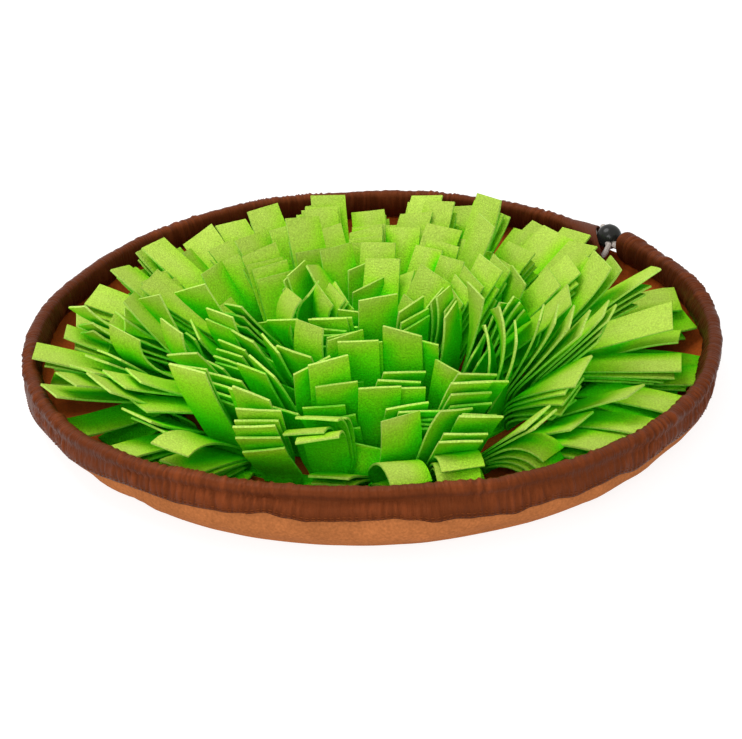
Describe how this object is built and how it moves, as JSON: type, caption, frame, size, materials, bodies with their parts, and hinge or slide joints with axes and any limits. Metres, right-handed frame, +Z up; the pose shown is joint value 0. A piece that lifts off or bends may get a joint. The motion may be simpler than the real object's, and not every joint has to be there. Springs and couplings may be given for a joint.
{
  "type": "snuffle mat",
  "caption": "Round shallow cloth mat with a ruched rim casing on a drawcord and a dense field of felt strips that hide treats from a sniffing pet.",
  "frame": {"origin": "middle of the mat's underside, on the surface it lies on", "axes": "+Z up, through the felt; -Y is the side that the picture looks from; the ball cord lock is at the back right, 37 degrees anticlockwise from +X"},
  "size_m": [0.4994, 0.5001, 0.0985],
  "materials": {
    "panel": "short-napped suede-like cloth, tan",
    "casing": "satin, dark reddish brown",
    "cord": "braided cord, light grey",
    "toggle": "black, glossy",
    "felt": "needle felt, yellow-green"
  },
  "bodies": {
    "root": {"mat_panel": "panel", "rim_casing": "casing", "drawcord": "cord", "cord_toggle": "toggle", "felt_ring_1": "felt", "felt_ring_2": "felt", "felt_ring_3": "felt", "felt_ring_4": "felt", "felt_ring_5": "felt"}
  },
  "joints": []
}
